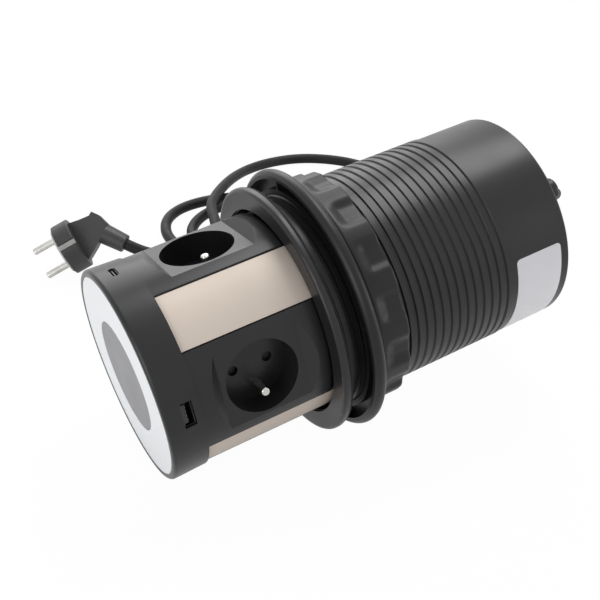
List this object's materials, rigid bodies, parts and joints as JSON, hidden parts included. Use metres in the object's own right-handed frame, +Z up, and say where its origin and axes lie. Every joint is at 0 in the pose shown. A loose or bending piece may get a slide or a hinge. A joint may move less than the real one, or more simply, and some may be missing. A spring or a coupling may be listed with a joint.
{
  "type": "pop-up desk socket",
  "caption": "Cylindrical pop-up socket tower with round recessed outlets, charging top, threaded barrel, clamp ring with lobed nut, and a flexible cord with angled plug.",
  "frame": {"origin": "centre of the unit's own bounding box at the level of the table it lies on, cord and plug left out", "axes": "+Z up, +X from the head towards the base along the barrel's plan, -Y towards the socket that faces the viewer"},
  "size_m": [0.3335, 0.4017, 0.1508],
  "materials": {
    "black_shell": "fine satin, moulded",
    "black_matt": "matt, moulded",
    "ring_white": "smooth",
    "pad_grey": "fine matt",
    "trim_metal": "fine vertical satin brush",
    "steel": "zinc plated",
    "contact_brass": "bright",
    "port_black": "matt",
    "usb_metal": "bright",
    "board_green": "solder mask",
    "coil_copper": "enamelled wire",
    "ferrite": "sintered, dull",
    "seal_rubber": "soft",
    "label_paper": "plain film, bare",
    "cord_rubber": "smooth sheath",
    "plug_rubber": "matt",
    "insert_white": "satin",
    "lobe_plastic": "matt, moulded"
  },
  "bodies": {
    "housing": {"outer_tube": "black_shell", "desk_collar": "black_shell", "collar_seal": "seal_rubber", "base_cap": "black_shell", "base_screws": "steel", "blank_label": "label_paper", "gland_nut": "black_matt", "cable_gland": "black_matt", "inner_lead": "cord_rubber", "mains_cord": "cord_rubber", "cord_coil": "cord_rubber", "plug_body": "plug_rubber", "plug_boot": "plug_rubber", "plug_insert": "insert_white", "plug_pins": "steel", "plug_clips": "steel"},
    "tower": {"head_shell": "black_shell", "cap_ring": "ring_white", "charge_pad": "pad_grey", "charging_coil": "coil_copper", "ferrite_disc": "ferrite", "charger_board": "board_green", "usb_board": "board_green", "usb_a_port": "usb_metal", "usb_c_port": "usb_metal", "head_screws": "steel", "tower_spine": "black_matt", "socket_front": "black_shell", "socket_top": "black_shell", "socket_rear": "black_shell", "socket_bottom": "black_shell", "earth_pins": "steel", "earth_bus": "contact_brass", "live_bus": "contact_brass", "neutral_bus": "contact_brass", "panel_1": "trim_metal", "panel_2": "trim_metal", "panel_3": "trim_metal", "panel_4": "trim_metal", "tower_foot": "black_matt", "foot_screws": "steel", "friction_ring": "seal_rubber", "terminal_block": "insert_white"},
    "clamp_ring": {"clamp_ring": "lobe_plastic"},
    "clamp_nut": {"clamp_nut": "lobe_plastic"},
    "shutter_front": {"shutter_front": "port_black"},
    "shutter_top": {"shutter_top": "port_black"},
    "shutter_rear": {"shutter_rear": "port_black"},
    "shutter_bottom": {"shutter_bottom": "port_black"}
  },
  "joints": [
    {"name": "tower_slide", "type": "slide", "parent": "housing", "child": "tower", "axis": [0.9888, 0, 0.1494], "range_m": [0, 0.0883], "deforming": ["inner_lead"]},
    {"name": "clamp_slide", "type": "slide", "parent": "housing", "child": "clamp_ring", "axis": [0.9888, 0, 0.1494], "range_m": [-0.0115, 0.062]},
    {"name": "nut_turn", "type": "hinge", "parent": "clamp_ring", "child": "clamp_nut", "pos_m": [-0.00633, 0, 0.07488], "axis": [0.9888, 0, 0.1494], "range_deg": [-794, 4290]},
    {"name": "shutter_front_slide", "type": "slide", "parent": "tower", "child": "shutter_front", "axis": [-0.1483, 0.1236, 0.9812], "range_m": [0, 0.0055], "stiffness_N_per_m": 200, "springref_m": -0.004},
    {"name": "shutter_top_slide", "type": "slide", "parent": "tower", "child": "shutter_top", "axis": [0.0185, 0.9923, -0.1222], "range_m": [0, 0.0055], "stiffness_N_per_m": 200, "springref_m": -0.004},
    {"name": "shutter_rear_slide", "type": "slide", "parent": "tower", "child": "shutter_rear", "axis": [0.1483, -0.1236, -0.9812], "range_m": [0, 0.0055], "stiffness_N_per_m": 200, "springref_m": -0.004},
    {"name": "shutter_bottom_slide", "type": "slide", "parent": "tower", "child": "shutter_bottom", "axis": [-0.0185, -0.9923, 0.1222], "range_m": [0, 0.0055], "stiffness_N_per_m": 200, "springref_m": -0.004}
  ],
  "couplings": [
    {"joint": "clamp_slide", "follows": "nut_turn", "m_per_rad": 0.00082761}
  ]
}
